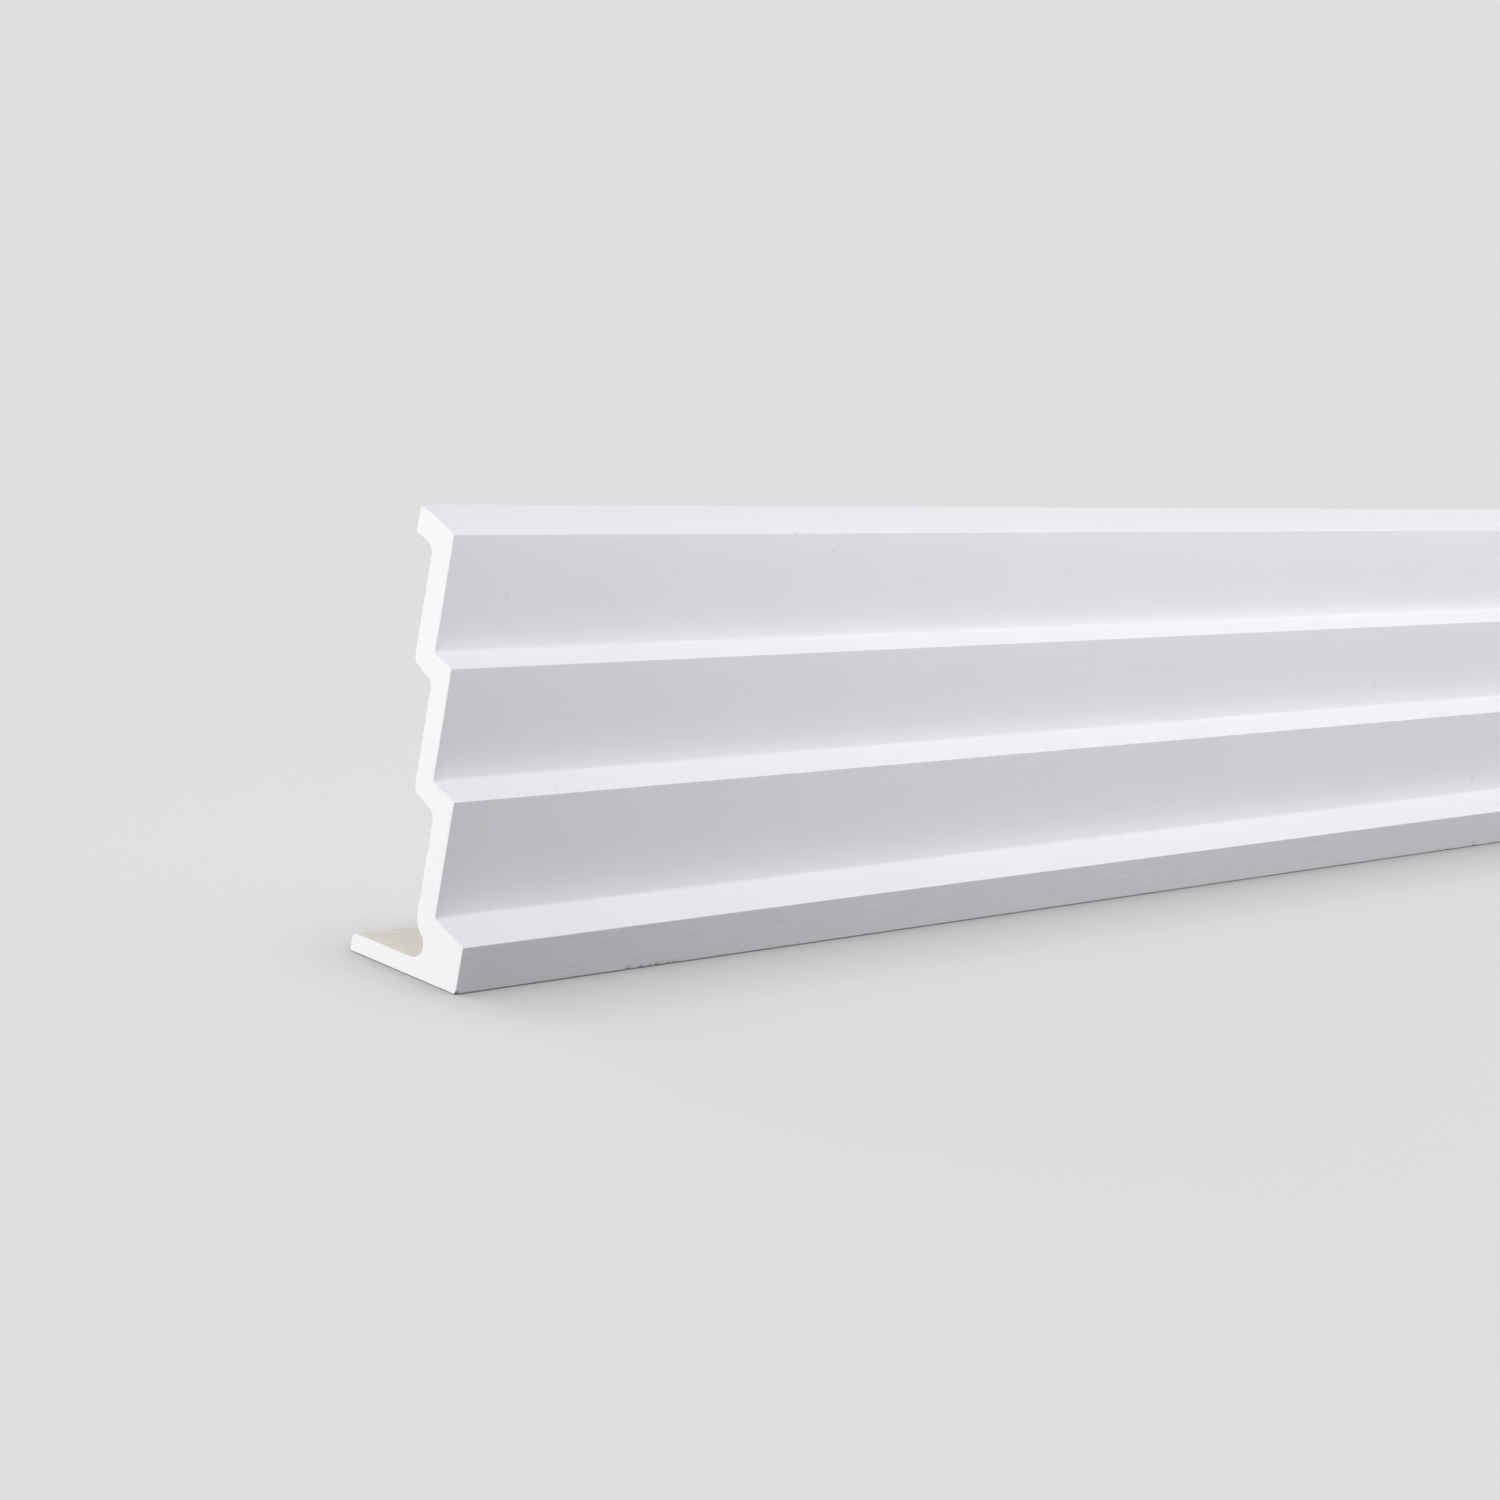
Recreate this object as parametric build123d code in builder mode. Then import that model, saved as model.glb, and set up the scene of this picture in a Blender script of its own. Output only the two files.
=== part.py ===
"""Stepped cornice moulding: one length of moulded foam stock, standing on its ceiling flange."""

import os
from math import cos, radians, tan

from build123d import *

# Stock length, sawn square at both ends
length = 2000

# Front, from the ceiling flange to the lip: upright faces, each set back on a sloping ledge
foot_height = 22
lower_ledge = 19.5
lower_riser = 54.6
middle_ledge = 14.5
middle_riser = 52.2
upper_ledge = 11.5
upper_riser = 54.3
top_ledge = 23
ledge_slope = 21.5

# Hollow back: the walls behind the risers and under the ledges, and a thin flange with a round bay
# over it
lower_wall = 11.4
middle_wall = 10.9
upper_wall = 11.9
ledge_wall = 11.9
back_slope = 27
flange_thickness = 8.5
bay_radius = 6.6
bay_slope = 47

# Radii of the section's corners
foot_edge = 0.8
arris = 0.4
front_hollow = 2
lip_edge = 1.6
back_hollow = 5.4
back_edge = 4.8
bay_mouth = 11
flange_edge = 2.4

# Steps of the front: the depth of a ledge and the height of the riser that stands at its back
steps = [(lower_ledge, lower_riser), (middle_ledge, middle_riser), (upper_ledge, upper_riser)]
depth = top_ledge + sum(ledge for ledge, riser in steps)
wall_plane = depth / 2
ledge_rise = tan(radians(ledge_slope))

# The front's corners, each with its radius, from the floor up to the lip
front = [((-wall_plane, 0), foot_edge), ((-wall_plane, foot_height), arris)]
riser_tops = []
y, z = -wall_plane, foot_height
for ledge, riser in steps:
    y += ledge
    z += ledge * ledge_rise
    front.append(((y, z), front_hollow))
    z += riser
    front.append(((y, z), arris))
    riser_tops.append((y, z))
lip_top = z + top_ledge * ledge_rise

# The back's corners from the lip down: the wall behind each riser ends in a soft hollow above it
# and in a soft edge below it, where the wall steps forward to the next riser
ledge_drop = ledge_wall / cos(radians(ledge_slope))
walls = [lower_wall, middle_wall, upper_wall]
lower_back, middle_back, upper_back = [
    (y + wall, z + wall * ledge_rise - ledge_drop) for (y, z), wall in zip(riser_tops, walls)
]


def edge_above(hollow, riser_back):
    """The back's edge where the slope that rises from a hollow meets the riser behind it."""
    run = riser_back[0] - hollow[0]
    return riser_back[0], hollow[1] + run * tan(radians(back_slope))


back = [
    ((wall_plane, lip_top), arris),
    ((wall_plane, lip_top - ledge_drop), lip_edge),
    (upper_back, back_hollow),
    (edge_above(middle_back, upper_back), back_edge),
    (middle_back, back_hollow),
    (edge_above(lower_back, middle_back), back_edge),
    (lower_back, back_hollow),
]

# The bay over the flange: a round hollow centred under the lower riser's back, which the slope
# from that riser and the top of the flange both run into
bay_reach = bay_radius / tan(radians(bay_slope / 2))
bay_back = lower_back[0]
bay_corner = (bay_back - bay_reach, flange_thickness)
bay_lip = (bay_back, flange_thickness + bay_reach * tan(radians(bay_slope)))
flange = [
    (bay_lip, bay_mouth),
    (bay_corner, bay_radius),
    ((wall_plane, flange_thickness), flange_edge),
    ((wall_plane, 0), foot_edge),
]

outline = front + back + flange

with BuildPart() as cornice_moulding:
    with BuildSketch(Plane.YZ.offset(-length / 2)):
        with BuildLine():
            FilletPolyline(
                *[corner for corner, radius in outline],
                radius=[radius for corner, radius in outline],
                close=True,
            )
        make_face()
    extrude(amount=length)

os.makedirs("parts", exist_ok=True)
cornice_moulding.part.label = "cornice_moulding"
export_step(cornice_moulding.part, "parts/cornice_moulding.step")
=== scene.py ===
"""A length of stepped cornice moulding, standing on its ceiling flange in a plain studio."""

import math

import bmesh
import bpy
from mathutils import Matrix, Quaternion, Vector
from mathutils.geometry import delaunay_2d_cdt


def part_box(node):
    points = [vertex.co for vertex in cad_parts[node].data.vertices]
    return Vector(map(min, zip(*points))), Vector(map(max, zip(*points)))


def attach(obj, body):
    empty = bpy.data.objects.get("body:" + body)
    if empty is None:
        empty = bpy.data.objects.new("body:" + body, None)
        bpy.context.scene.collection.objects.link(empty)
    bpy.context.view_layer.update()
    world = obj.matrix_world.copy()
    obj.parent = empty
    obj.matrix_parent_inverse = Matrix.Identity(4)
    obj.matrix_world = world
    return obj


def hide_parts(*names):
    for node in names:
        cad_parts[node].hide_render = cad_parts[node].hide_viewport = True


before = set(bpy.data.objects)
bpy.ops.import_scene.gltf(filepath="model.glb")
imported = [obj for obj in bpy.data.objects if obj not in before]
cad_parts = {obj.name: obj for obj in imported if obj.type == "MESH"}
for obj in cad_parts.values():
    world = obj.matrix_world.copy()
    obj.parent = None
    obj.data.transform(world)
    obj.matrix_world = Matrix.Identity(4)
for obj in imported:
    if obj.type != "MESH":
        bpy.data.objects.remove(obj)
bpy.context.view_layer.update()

# The section: upright risers, each set back on a sloping ledge, over a hollow back. It ends above in
# the lip that meets the wall, and below in the foot and the thin flange that is glued to the ceiling.
# It is cast in a closed mould, so only the front's outer edges are crisp.
mm = 0.001
low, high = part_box("cornice_moulding")
foot_front = low.y
wall_plane = high.y

foot_height = 22 * mm
lower_ledge = 19.5 * mm
lower_riser = 54.6 * mm
middle_ledge = 14.5 * mm
middle_riser = 52.2 * mm
upper_ledge = 11.5 * mm
upper_riser = 54.3 * mm
ledge_slope = math.radians(21.5)

lower_wall = 11.4 * mm
middle_wall = 10.9 * mm
upper_wall = 11.9 * mm
ledge_wall = 11.9 * mm
back_slope = math.radians(27)
flange_thickness = 8.5 * mm
bay_radius = 6.6 * mm
bay_slope = math.radians(47)

foot_edge = 0.8 * mm
arris = 0.4 * mm
front_hollow = 2 * mm
lip_edge = 1.6 * mm
back_hollow = 5.4 * mm
back_edge = 4.8 * mm
bay_mouth = 11 * mm
flange_edge = 2.4 * mm

# Front corners from the floor up, as (place across the section, radius)
front = [(Vector((foot_front, low.z)), foot_edge), (Vector((foot_front, foot_height)), arris)]
riser_tops = []
corner = Vector((foot_front, foot_height))
steps = [(lower_ledge, lower_riser), (middle_ledge, middle_riser), (upper_ledge, upper_riser)]
for ledge, riser in steps:
    corner = corner + Vector((ledge, ledge * math.tan(ledge_slope)))
    front.append((corner, front_hollow))
    corner = corner + Vector((0, riser))
    front.append((corner, arris))
    riser_tops.append(corner)
top_ledge = wall_plane - corner.x
lip_top = corner + Vector((top_ledge, top_ledge * math.tan(ledge_slope)))
front.append((lip_top, arris))

# Back corners from the lip down to the flange, behind the walls of the risers and under the ledges
ledge_drop = ledge_wall / math.cos(ledge_slope)
lower_back, middle_back, upper_back = [
    top + Vector((wall, wall * math.tan(ledge_slope) - ledge_drop))
    for top, wall in zip(riser_tops, (lower_wall, middle_wall, upper_wall))
]
bay_reach = bay_radius / math.tan(bay_slope / 2)


def edge_above(hollow, riser_back):
    """The back's edge where the slope that rises from a hollow meets the riser behind it."""
    run = riser_back.x - hollow.x
    return Vector((riser_back.x, hollow.y + run * math.tan(back_slope)))


back = [
    (lip_top - Vector((0, ledge_drop)), lip_edge),
    (upper_back, back_hollow),
    (edge_above(middle_back, upper_back), back_edge),
    (middle_back, back_hollow),
    (edge_above(lower_back, middle_back), back_edge),
    (lower_back, back_hollow),
    (Vector((lower_back.x, flange_thickness + bay_reach * math.tan(bay_slope))), bay_mouth),
    (Vector((lower_back.x - bay_reach, flange_thickness)), bay_radius),
    (Vector((wall_plane, flange_thickness)), flange_edge),
    (Vector((wall_plane, low.z)), foot_edge),
]

# Flaws of casting and handling on the front: the worn tip of the lip and the chipped corner of the
# foot, then shallow dents, pinholes, nicks in the edges and soiled spots. Each is (distance from the
# near end, height, radius, depth), and how much it is darkened: real dirt on the flat soiled spots, and
# painted shade inside the dents, pinholes, nicks and the chip.
flaws = [
    ((0 * mm, 209.8 * mm, 6.0 * mm, 0.9 * mm), 0.0),
    ((0.6 * mm, 0.4 * mm, 1.8 * mm, 0.6 * mm), 0.5),
    ((246 * mm, 201 * mm, 1.8 * mm, 0.5 * mm), 0.5),
    ((41 * mm, 173 * mm, 2.2 * mm, 0.04 * mm), 0.16),
    ((69 * mm, 179 * mm, 5.0 * mm, 0.0 * mm), 0.06),
    ((104 * mm, 194 * mm, 4.0 * mm, 0.0 * mm), 0.08),
    ((112 * mm, 197 * mm, 2.5 * mm, 0.0 * mm), 0.08),
    ((114 * mm, 169 * mm, 3.0 * mm, 0.0 * mm), 0.06),
    ((159 * mm, 181.5 * mm, 2.6 * mm, 0.03 * mm), 0.12),
    ((279 * mm, 191.5 * mm, 2.4 * mm, 0.04 * mm), 0.18),
    ((845 * mm, 104 * mm, 3.0 * mm, 0.05 * mm), 0.24),
    ((770 * mm, 64 * mm, 2.8 * mm, 0.05 * mm), 0.2),
    ((978 * mm, 39.5 * mm, 3.2 * mm, 0.05 * mm), 0.24),
    ((71 * mm, 85.4 * mm, 0.8 * mm, 0.2 * mm), 0.7),
    ((77 * mm, 61.3 * mm, 0.7 * mm, 0.2 * mm), 0.5),
    ((21 * mm, 2.3 * mm, 0.8 * mm, 0.2 * mm), 0.6),
    ((16.5 * mm, 13 * mm, 5.0 * mm, 0.0 * mm), 0.14),
    ((118 * mm, 0.4 * mm, 2.4 * mm, 0.5 * mm), 0.1),
    ((127 * mm, 0.3 * mm, 1.8 * mm, 0.45 * mm), 0.2),
    ((134 * mm, 0.3 * mm, 1.5 * mm, 0.35 * mm), 0.1),
    ((139 * mm, 0.3 * mm, 2.2 * mm, 0.5 * mm), 0.2),
    ((147 * mm, 0.3 * mm, 1.6 * mm, 0.4 * mm), 0.1),
    ((152 * mm, 0.3 * mm, 1.8 * mm, 0.35 * mm), 0.2),
    ((925 * mm, 0.3 * mm, 2.2 * mm, 0.5 * mm), 0.2),
    ((962 * mm, 0.3 * mm, 3.0 * mm, 0.6 * mm), 0.2),
]


def front_at(height):
    """How far across the section the front lies at a height."""
    for (below, _), (above, _) in zip(front, front[1:]):
        if below.y <= height <= above.y:
            return below.x + (above.x - below.x) * (height - below.y) / (above.y - below.y)


dents = []
for (along, up, radius, depth), soil_and_shade in flaws:
    dents.append((Vector((low.x + along, front_at(up), up)), radius, depth, soil_and_shade))

# The outline as stops, each a place across the section and the way the surface faces there: arcs
# round the corners, and along each straight run a few stops, closer together at the flaws
arc_turn = math.radians(11)
run_spacing = 9 * mm
run_margin = 0.15 * mm
flaw_stops = (-1, -0.65, -0.3, 0, 0.3, 0.65, 1)


def stops_along(start, end):
    """Distances of the stops along a straight run of the section."""
    run = (end - start).length
    count = max(1, round(run / run_spacing))
    stops = {run_margin, run - run_margin}
    stops.update(run * step / count for step in range(1, count))
    ahead = (end - start).normalized()
    for place, radius, depth, soil_and_shade in dents:
        offset = Vector((place.y, place.z)) - start
        if abs(offset.cross(ahead)) < radius:
            stops.update(offset.dot(ahead) + radius * share for share in flaw_stops)
    kept = []
    for stop in sorted(stops):
        if run_margin <= stop <= run - run_margin and (not kept or stop - kept[-1] > run_margin):
            kept.append(stop)
    return kept


def outline_stops(corners, finishes):
    """The closed outline as (place, facing, finish), round each softened corner and along each run."""
    stops = []
    for index, (corner, radius) in enumerate(corners):
        before = corners[index - 1][0]
        after = corners[(index + 1) % len(corners)][0]
        arriving = (corner - before).normalized()
        leaving = (after - corner).normalized()
        turn = arriving.angle_signed(leaving)
        reach = radius * math.tan(abs(turn) / 2)
        centre = corner - arriving * reach
        centre += Vector((-arriving.y, arriving.x)) * math.copysign(radius, -turn)
        count = max(2, math.ceil(abs(turn) / arc_turn))
        for step in range(count + 1):
            heading = Matrix.Rotation(-turn * step / count, 2) @ arriving
            facing = Vector((-heading.y, heading.x))
            stops.append((centre + facing * math.copysign(radius, turn), facing, finishes[index]))
        next_after = corners[(index + 2) % len(corners)][0]
        next_turn = leaving.angle_signed((next_after - after).normalized())
        next_reach = corners[(index + 1) % len(corners)][1] * math.tan(abs(next_turn) / 2)
        run_start = corner + leaving * reach
        run_end = after - leaving * next_reach
        facing = Vector((-leaving.y, leaving.x))
        for stop in stops_along(run_start, run_end):
            stops.append((run_start + leaving * stop, facing, finishes[index]))
    return stops


# The finishes, in the order of the skin's materials: the primer wraps the front and the lip
PRIMED, BARE, SAWN = range(3)
outline = outline_stops(front + back, [PRIMED] * len(front) + [BARE] * len(back))

# The length: the section run from end to end and sawn square, with the saw's fine break round both
# cut ends. It is a skin of rings, which stand closer together beside the breaks and at the flaws.
saw_break = 0.25 * mm
break_rings = (saw_break, 2 * saw_break, 8 * saw_break)
ring_spacing = 50 * mm


def ring_places():
    """Places of the rings along the length, between the two breaks."""
    first = low.x + saw_break
    last = high.x - saw_break
    count = round((high.x - low.x) / ring_spacing)
    places = {low.x + (high.x - low.x) * step / count for step in range(1, count)}
    for inset in break_rings:
        places.update((low.x + inset, high.x - inset))
    for place, radius, depth, soil_and_shade in dents:
        places.update(place.x + radius * share for share in flaw_stops)
    kept = []
    for place in sorted(places):
        if first <= place <= last and (not kept or place - kept[-1] > run_margin):
            kept.append(place)
    return kept


def facing_at(place, radius):
    """The way the surface faces round a flaw, from the outline's stops within its radius."""
    centre = Vector((place.y, place.z))
    near = [facing for stop, facing, finish in outline if (stop - centre).length < radius]
    mean = sum(near, Vector((0, 0))).normalized()
    return Vector((0, mean.x, mean.y))


facings = [facing_at(place, radius) for place, radius, depth, soil_and_shade in dents]


def flaw_at(point):
    """How far the flaws press the surface in at a point, and how much they darken it there: dirt on the
    flat spots, painted shade in the dents, pinholes, nicks and chip.
    """
    pressed = Vector()
    soiled_and_shaded = 0
    for (place, radius, depth, soil_and_shade), facing in zip(dents, facings):
        share = (point - place).length_squared / radius ** 2
        if share < 1:
            pressed -= facing * depth * (1 - share) ** 2
            soiled_and_shaded = max(soiled_and_shaded, soil_and_shade * (1 - share) ** 2)
    return pressed, soiled_and_shaded


skin = bmesh.new()
# Per vertex, how much the flaws darken the skin: real dirt on the flat spots, and painted shade in the
# dents, pinholes, nicks and the chip
soiling_and_shade = skin.verts.layers.float.new("soiling_and_shade")


def ring_at(along, inset=0):
    """One ring of the skin round the section, drawn in by an inset and pressed in by the flaws."""
    ring = []
    for place, facing, finish in outline:
        inside = place - facing * inset
        point = Vector((along, inside.x, inside.y))
        pressed, soiled_and_shaded = flaw_at(point)
        vertex = skin.verts.new(point + pressed)
        vertex[soiling_and_shade] = soiled_and_shaded
        ring.append(vertex)
    return ring


rings = [ring_at(low.x, saw_break)]
rings += [ring_at(along) for along in ring_places()]
rings.append(ring_at(high.x, saw_break))
for ring, following in zip(rings, rings[1:]):
    for index in range(len(outline)):
        after = (index + 1) % len(outline)
        strip = skin.faces.new((ring[index], ring[after], following[after], following[index]))
        strip.material_index = outline[index][2]
        strip.smooth = True

# Each sawn end is closed with flat triangles between the vertices of its ring
merge_distance = 0.0001 * mm
INSIDE_RIM = 1
for ring in (rings[0], rings[-1]):
    flat = [vertex.co.yz for vertex in ring]
    rim = [(index, (index + 1) % len(ring)) for index in range(len(ring))]
    triangles = delaunay_2d_cdt(flat, rim, [], INSIDE_RIM, merge_distance)[2]
    for corners in triangles:
        cut = skin.faces.new([ring[index] for index in corners])
        cut.material_index = SAWN
        for edge in cut.edges:
            edge.smooth = False
bmesh.ops.recalc_face_normals(skin, faces=skin.faces[:])
moulding_mesh = bpy.data.meshes.new("moulding")
skin.to_mesh(moulding_mesh)
skin.free()
moulding = bpy.data.objects.new("moulding", moulding_mesh)
bpy.context.scene.collection.objects.link(moulding)
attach(moulding, "root")
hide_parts("cornice_moulding")


# Sprayed primer: a thin matt white coat laid in the mould before the foam. The eye gets a cool, even
# white with the faintest grain. The foot is planed to its height afterwards, which leaves hair-fine
# streaks along it, a third of a millimetre wide and drawn coarser so that they show. The foot's face is
# also painted a shade greyer all over, which is painted shade for the dimmer light down by the floor.
def tint(code):
    """Linear colour, with full alpha, of an sRGB hex code."""
    channels = [int(code[start:start + 2], 16) / 255 for start in (0, 2, 4)]
    return (*[c / 12.92 if c <= 0.04045 else ((c + 0.055) / 1.055) ** 2.4 for c in channels], 1)


def emptied(owner):
    """The node tree of a material or a world, with nothing in it yet."""
    owner.use_nodes = True
    owner.node_tree.nodes.clear()
    return owner.node_tree


def add(tree, kind, values=None, links=None, **settings):
    """Adds a node with its settings, the values of its sockets and what feeds them."""
    made = tree.nodes.new(kind)
    for name, value in settings.items():
        setattr(made, name, value)
    for socket, value in (values or {}).items():
        made.inputs[socket].default_value = value
    for socket, source in (links or {}).items():
        tree.links.new(source, made.inputs[socket])
    return made


# A colour Mix node's sockets by number, because several share a name
FACTOR, FIRST, SECOND, MIXED = 0, 6, 7, 2

primer = bpy.data.materials.new("sprayed_primer")
tree = emptied(primer)
streak_length = 26 * mm
streak_width = 0.9 * mm
streak_depth = 0.012 * mm
cloud_size = 70 * mm
spray_grain = 0.9 * mm
spray_depth = 0.006 * mm
place = add(tree, "ShaderNodeTexCoord").outputs["Object"]
along = add(
    tree, "ShaderNodeMapping",
    {"Scale": (1 / streak_length, 1 / streak_width, 1 / streak_width)}, {"Vector": place},
)
streaks = add(
    tree, "ShaderNodeTexNoise", {"Scale": 1, "Detail": 3, "Roughness": 0.6},
    {"Vector": along.outputs["Vector"]},
)
clouds = add(tree, "ShaderNodeTexNoise", {"Scale": 1 / cloud_size, "Detail": 2}, {"Vector": place})
grain = add(tree, "ShaderNodeTexNoise", {"Scale": 1 / spray_grain, "Detail": 1}, {"Vector": place})
height = add(tree, "ShaderNodeSeparateXYZ", None, {"Vector": place}).outputs["Z"]
# One on the foot's face, which is planed and streaked there and also painted darker as painted shade
planed_and_shaded = add(
    tree, "ShaderNodeMapRange",
    {"From Min": foot_height - arris, "From Max": foot_height, "To Min": 1, "To Max": 0},
    {"Value": height},
)
rubbed = add(
    tree, "ShaderNodeMapRange", {"To Min": 0.06, "To Max": 1}, {"Value": planed_and_shaded.outputs["Result"]},
)
soiled_and_shaded = add(tree, "ShaderNodeAttribute", attribute_name="soiling_and_shade")
cloudy = add(
    tree, "ShaderNodeMix", {FIRST: tint("F4F4F8"), SECOND: tint("F0F0F5")},
    {FACTOR: clouds.outputs["Fac"]}, data_type="RGBA",
)
streaky = add(
    tree, "ShaderNodeMapRange", {"From Min": 0.4, "From Max": 0.75}, {"Value": streaks.outputs["Fac"]},
)
streak_share = add(
    tree, "ShaderNodeMath", None,
    {0: streaky.outputs["Result"], 1: rubbed.outputs["Result"]}, operation="MULTIPLY",
)
# The foot's face is painted a shade greyer: painted shade for the dimmer light down by the floor, not a
# colour of the primer
foot_painted_shade = add(
    tree, "ShaderNodeMix", {SECOND: tint("E9E9EE")},
    {FACTOR: planed_and_shaded.outputs["Result"], FIRST: cloudy.outputs[MIXED]}, data_type="RGBA",
)
streaked = add(
    tree, "ShaderNodeMix", {SECOND: tint("DFDFE4")},
    {FACTOR: streak_share.outputs["Value"], FIRST: foot_painted_shade.outputs[MIXED]}, data_type="RGBA",
)
# Darker grey at the flaws, most at each middle: real dirt on the flat spots, and painted shade inside
# the dents, pinholes, nicks and the chipped corner
spots_and_painted_shade = add(
    tree, "ShaderNodeMix", {SECOND: tint("B9B8BC")},
    {FACTOR: soiled_and_shaded.outputs["Fac"], FIRST: streaked.outputs[MIXED]}, data_type="RGBA",
)
sprayed = add(
    tree, "ShaderNodeBump", {"Distance": spray_depth}, {"Height": grain.outputs["Fac"]},
)
scored = add(
    tree, "ShaderNodeBump", {"Distance": streak_depth},
    {"Strength": rubbed.outputs["Result"], "Height": streaks.outputs["Fac"],
     "Normal": sprayed.outputs["Normal"]},
)
coat = add(
    tree, "ShaderNodeBsdfPrincipled", {"Roughness": 0.6, "IOR": 1.47},
    {"Base Color": spots_and_painted_shade.outputs[MIXED], "Normal": scored.outputs["Normal"]},
)
add(tree, "ShaderNodeOutputMaterial", None, {"Surface": coat.outputs["BSDF"]})
moulding_mesh.materials.append(primer)

# Bare foam skin: the dense skin that the foam forms against the mould where no primer was laid, on
# the hollow back and the flange. It is cream rather than white, a little waxy, and drawn out along
# the length in long streaks and patches.
bare = bpy.data.materials.new("bare_foam_skin")
tree = emptied(bare)
drawn_length = 120 * mm
drawn_width = 2.4 * mm
drawn_depth = 0.04 * mm
patch_size = 22 * mm
place = add(tree, "ShaderNodeTexCoord").outputs["Object"]
along = add(
    tree, "ShaderNodeMapping",
    {"Scale": (1 / drawn_length, 1 / drawn_width, 1 / drawn_width)}, {"Vector": place},
)
drawn = add(
    tree, "ShaderNodeTexNoise", {"Scale": 1, "Detail": 4, "Roughness": 0.65},
    {"Vector": along.outputs["Vector"]},
)
patches = add(tree, "ShaderNodeTexNoise", {"Scale": 1 / patch_size, "Detail": 4}, {"Vector": place})
patchy = add(
    tree, "ShaderNodeMapRange", {"From Min": 0.35, "From Max": 0.65}, {"Value": patches.outputs["Fac"]},
)
cream = add(
    tree, "ShaderNodeMix", {FIRST: tint("EEECE6"), SECOND: tint("E9E6DF")},
    {FACTOR: patchy.outputs["Result"]}, data_type="RGBA",
)
streaky = add(
    tree, "ShaderNodeMapRange", {"From Min": 0.4, "From Max": 0.75, "To Max": 0.5},
    {"Value": drawn.outputs["Fac"]},
)
streaked = add(
    tree, "ShaderNodeMix", {SECOND: tint("DAD7CE")},
    {FACTOR: streaky.outputs["Result"], FIRST: cream.outputs[MIXED]}, data_type="RGBA",
)
ridged = add(tree, "ShaderNodeBump", {"Distance": drawn_depth}, {"Height": drawn.outputs["Fac"]})
skinned = add(
    tree, "ShaderNodeBsdfPrincipled", {"Roughness": 0.5, "IOR": 1.5},
    {"Base Color": streaked.outputs[MIXED], "Normal": ridged.outputs["Normal"]},
)
add(tree, "ShaderNodeOutputMaterial", None, {"Surface": skinned.outputs["BSDF"]})
moulding_mesh.materials.append(bare)

# Sawn foam: the fine closed cells that the saw opens at both ends, white and dull all through. The
# cells are a fifth of a millimetre, too fine to show, so the grain is drawn coarser.
sawn = bpy.data.materials.new("sawn_foam")
tree = emptied(sawn)
cell_size = 0.7 * mm
cell_depth = 0.03 * mm
place = add(tree, "ShaderNodeTexCoord").outputs["Object"]
cells = add(tree, "ShaderNodeTexNoise", {"Scale": 1 / cell_size, "Detail": 2}, {"Vector": place})
celled = add(
    tree, "ShaderNodeMix", {FIRST: tint("F8F8F8"), SECOND: tint("F4F4F4")},
    {FACTOR: cells.outputs["Fac"]}, data_type="RGBA",
)
opened = add(tree, "ShaderNodeBump", {"Distance": cell_depth}, {"Height": cells.outputs["Fac"]})
cut = add(
    tree, "ShaderNodeBsdfPrincipled", {"Roughness": 0.9, "IOR": 1.3},
    {"Base Color": celled.outputs[MIXED], "Normal": opened.outputs["Normal"]},
)
add(tree, "ShaderNodeOutputMaterial", None, {"Surface": cut.outputs["BSDF"]})
moulding_mesh.materials.append(sawn)

# The floor: a plain pale sheet that runs out past the horizon. Most of its paleness is that of a wide
# white room, which only the moulding close by shuts out, and the rest takes the lamps and their
# shadows. It throws little light back up, so that the foot keeps its shade.
floor_half = 40
floor_corners = ((-1, -1), (1, -1), (1, 1), (-1, 1))
floor_gap = 0.2 * mm
shadow_reach = 90 * mm
floor_pale = tint("C8C8C8")
floor_lit = tint("8C8C8C")
floor_thrown = tint("505050")
floor_mesh = bpy.data.meshes.new("floor")
floor_mesh.from_pydata(
    [(x * floor_half, y * floor_half, low.z - floor_gap) for x, y in floor_corners], [], [(0, 1, 2, 3)],
)
floor = bpy.data.objects.new("floor", floor_mesh)
bpy.context.scene.collection.objects.link(floor)


def shown_rays(tree):
    """One for the rays that show the background: to the camera, in gloss and through glass."""
    ray = add(tree, "ShaderNodeLightPath").outputs
    direct = add(
        tree, "ShaderNodeMath", None,
        {0: ray["Is Camera Ray"], 1: ray["Is Glossy Ray"]}, operation="MAXIMUM",
    )
    return add(
        tree, "ShaderNodeMath", None,
        {0: direct.outputs["Value"], 1: ray["Is Transmission Ray"]}, operation="MAXIMUM",
    ).outputs["Value"]


paper = bpy.data.materials.new("pale_paper")
tree = emptied(paper)
shown = shown_rays(tree)
shade = add(
    tree, "ShaderNodeMix", {FIRST: floor_thrown, SECOND: floor_lit}, {FACTOR: shown}, data_type="RGBA",
)
matt = add(tree, "ShaderNodeBsdfDiffuse", None, {"Color": shade.outputs[MIXED]})
room = add(tree, "ShaderNodeAmbientOcclusion", {"Distance": shadow_reach}, samples=4)
room_light = add(
    tree, "ShaderNodeMath", None, {0: shown, 1: room.outputs["AO"]}, operation="MULTIPLY",
)
pale = add(tree, "ShaderNodeEmission", {"Color": floor_pale}, {"Strength": room_light.outputs["Value"]})
sheet = add(tree, "ShaderNodeAddShader", None, {0: matt.outputs["BSDF"], 1: pale.outputs["Emission"]})
add(tree, "ShaderNodeOutputMaterial", None, {"Surface": sheet.outputs["Shader"]})
floor_mesh.materials.append(paper)

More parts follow.
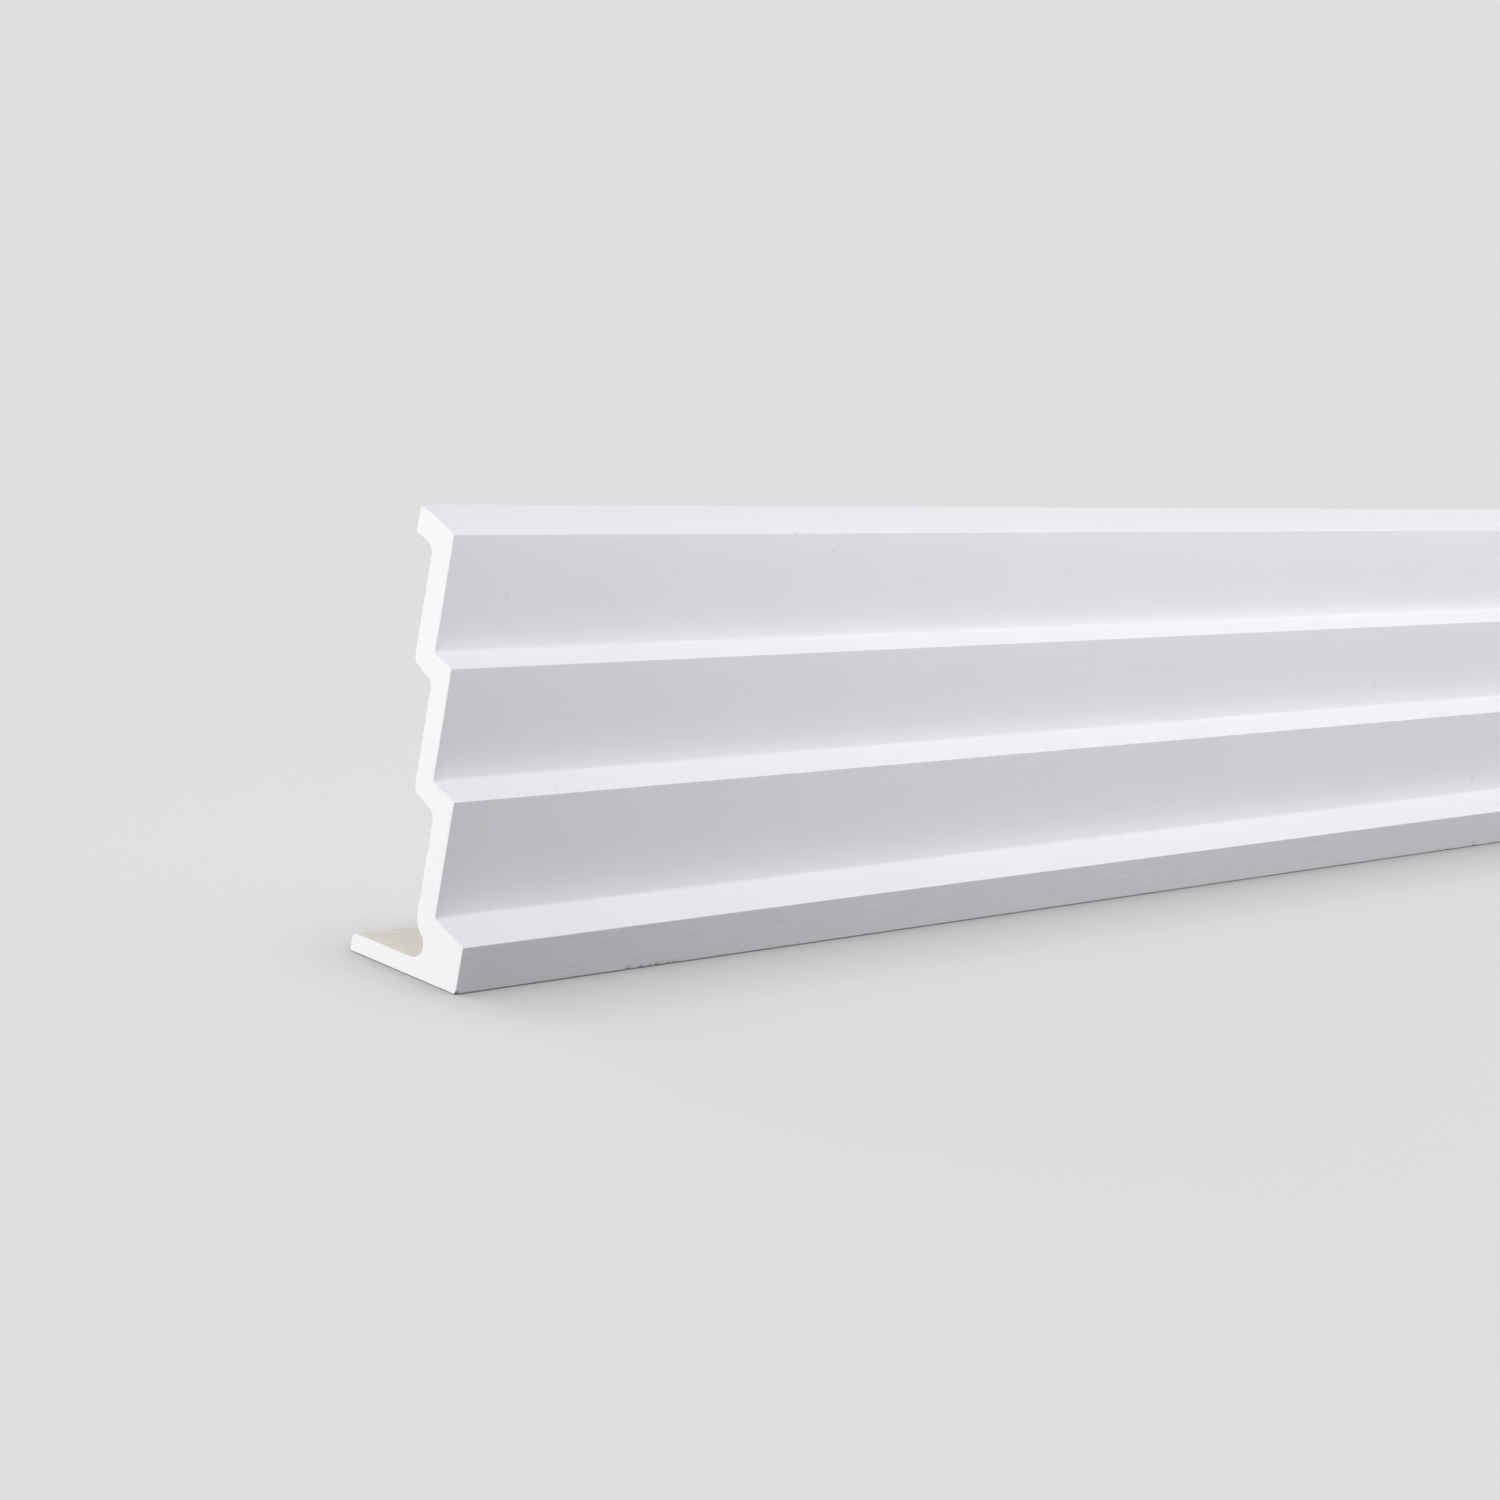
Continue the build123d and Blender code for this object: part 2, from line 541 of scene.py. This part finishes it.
# The studio light: even light from all round, and broad light from overhead and from behind, each at
# the level that it gives a white sheet facing it. A strip and a pair of softboxes in front and one
# softbox square to each sawn end are shaded from the floor, so that they leave no pools on it.
ambient = 0.16

# Broad lights, as (tilt from straight down and spread in degrees, level)
broad_lights = {
    "overhead": (0, 80, 0.29),
    "behind": (-70, 60, 0.46),
}
far_light = ambient
for name, (tilt, spread, level) in broad_lights.items():
    lamp = bpy.data.lights.new(name, "SUN")
    lamp.energy = level * math.pi
    lamp.angle = math.radians(spread)
    sheet_light = bpy.data.objects.new(name, lamp)
    sheet_light.rotation_euler.x = math.radians(tilt)
    bpy.context.scene.collection.objects.link(sheet_light)
    far_light += level * math.cos(math.radians(tilt))

# The background past the floor's edge has the tone of the floor far from the moulding
far_floor = [own + lit * far_light for own, lit in zip(floor_pale[:3], floor_lit[:3])]
world = bpy.data.worlds.new("studio")
bpy.context.scene.world = world
tree = emptied(world)
around = add(tree, "ShaderNodeBackground", {"Color": (ambient, ambient, ambient, 1)})
horizon = add(tree, "ShaderNodeBackground", {"Color": (*far_floor, 1)})
either = add(
    tree, "ShaderNodeMixShader", None,
    {0: shown_rays(tree), 1: around.outputs["Background"], 2: horizon.outputs["Background"]},
)
add(tree, "ShaderNodeOutputWorld", None, {"Surface": either.outputs["Shader"]})

# The strip and the softboxes, as (place, what it faces, width, depth, power)
softboxes = {
    "front_strip": ((0.0, -0.22, 0.36), (0.0, 0.0, 0.17), 2.8, 0.10, 2.4),
    "left_softbox": ((-0.5, -0.95, 0.20), (-0.5, 0.0, 0.10), 0.6, 0.4, 2.03),
    "right_softbox": ((0.5, -0.95, 0.20), (0.5, 0.0, 0.10), 0.6, 0.4, 2.03),
    "near_end_softbox": ((-2.2, 0.25, 0.1), (-1.0, 0.0, 0.1), 0.6, 0.2, 11.5),
    "far_end_softbox": ((2.2, 0.25, 0.1), (1.0, 0.0, 0.1), 0.6, 0.2, 11.5),
}
lit_by_softboxes = bpy.data.collections.new("lit_by_softboxes")
lit_by_softboxes.objects.link(moulding)
for name, (place, aim, width, depth, power) in softboxes.items():
    lamp = bpy.data.lights.new(name, "AREA")
    lamp.shape = "RECTANGLE"
    lamp.size = width
    lamp.size_y = depth
    lamp.energy = power
    box = bpy.data.objects.new(name, lamp)
    box.location = place
    box.rotation_mode = "QUATERNION"
    box.rotation_quaternion = (Vector(aim) - Vector(place)).to_track_quat("-Z", "Y")
    box.visible_camera = False
    box.light_linking.receiver_collection = lit_by_softboxes
    bpy.context.scene.collection.objects.link(box)

# The camera: it stands off the near end, a little above the lip, and is turned on its axis, so that
# the uprights lean and the length runs out of the right side of the picture.
camera_place = Vector((-2.1756, -1.0806, 0.4589))
camera_aim = Vector((0.77545, 0.59810, -0.20236))
camera_roll = math.radians(10.25)
lens = bpy.data.cameras.new("camera")
lens.sensor_width = 36
lens.lens = 87.2
camera = bpy.data.objects.new("camera", lens)
camera.location = camera_place
camera.rotation_mode = "QUATERNION"
camera.rotation_quaternion = camera_aim.to_track_quat("-Z", "Y") @ Quaternion((0, 0, 1), camera_roll)
bpy.context.scene.collection.objects.link(camera)
bpy.context.scene.camera = camera
bpy.context.scene.view_settings.view_transform = "Standard"
